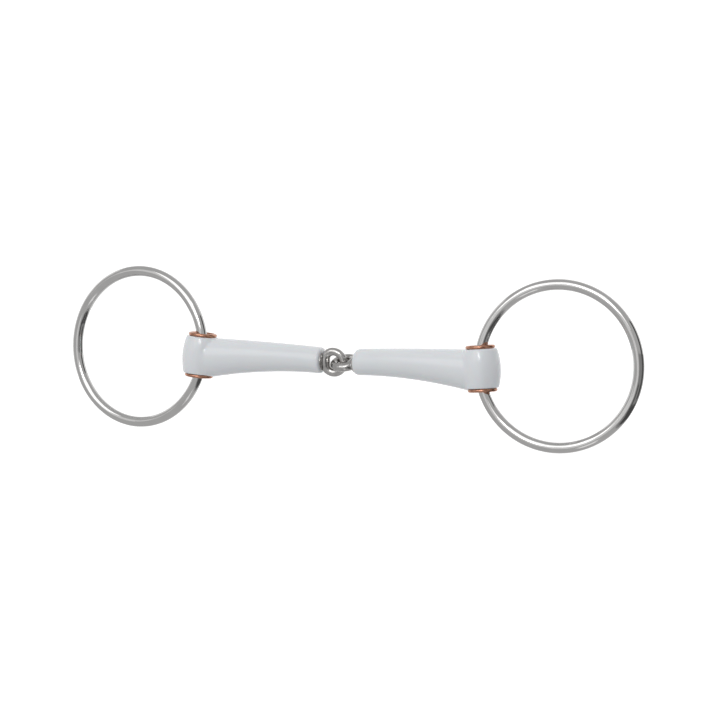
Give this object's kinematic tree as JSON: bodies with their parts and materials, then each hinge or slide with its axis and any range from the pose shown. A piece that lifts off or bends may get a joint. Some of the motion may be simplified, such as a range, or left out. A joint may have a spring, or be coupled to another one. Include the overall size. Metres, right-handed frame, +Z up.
{
  "type": "loose ring snaffle bit",
  "caption": "Jointed loose-ring snaffle bit: plastic-covered steel arms linked by eyes at the centre, and round rings that run through flanged copper bushes.",
  "frame": {"origin": "on the table that the bit lies flat on, under the middle of its box", "axes": "+X along the mouthpiece from the left ring to the right ring, +Y along the ring bores, +Z up from the table"},
  "size_m": [0.285, 0.0762, 0.0172],
  "materials": {
    "ring_steel": "polished stainless steel",
    "core_steel": "polished cast stainless steel",
    "bush_copper": "polished copper",
    "sleeve_plastic": "glossy moulded white plastic"
  },
  "bodies": {
    "left_arm": {"left_sleeve": "sleeve_plastic", "left_core": "core_steel"},
    "right_arm": {"right_sleeve": "sleeve_plastic", "right_core": "core_steel"},
    "left_bushes": {"left_upper_bush": "bush_copper", "left_lower_bush": "bush_copper"},
    "left_ring": {"left_ring": "ring_steel"},
    "right_bushes": {"right_upper_bush": "bush_copper", "right_lower_bush": "bush_copper"},
    "right_ring": {"right_ring": "ring_steel"}
  },
  "joints": [
    {"name": "centre_fold", "type": "hinge", "parent": "left_arm", "child": "right_arm", "pos_m": [0.00206, -0.00293, 0.00615], "axis": [0, 0.9781, 0.2079], "range_deg": [-80, 80]},
    {"name": "left_ring_swing", "type": "hinge", "parent": "left_arm", "child": "left_bushes", "pos_m": [-0.06995, -0.00243, 0.0086], "axis": [0.0872, 0.9962, 0], "range_deg": [-84.96, 95.04]},
    {"name": "left_ring_turn", "type": "hinge", "parent": "left_bushes", "child": "left_ring", "pos_m": [-0.10459, 0, 0.00554], "axis": [-0.0875, 0.0077, 0.9961], "continuous": true},
    {"name": "right_ring_swing", "type": "hinge", "parent": "right_arm", "child": "right_bushes", "pos_m": [0.06995, -0.00243, 0.0086], "axis": [0.0872, -0.9962, 0], "range_deg": [-84.96, 95.04]},
    {"name": "right_ring_turn", "type": "hinge", "parent": "right_bushes", "child": "right_ring", "pos_m": [0.10459, 0, 0.00554], "axis": [0.0875, 0.0077, 0.9961], "continuous": true}
  ]
}
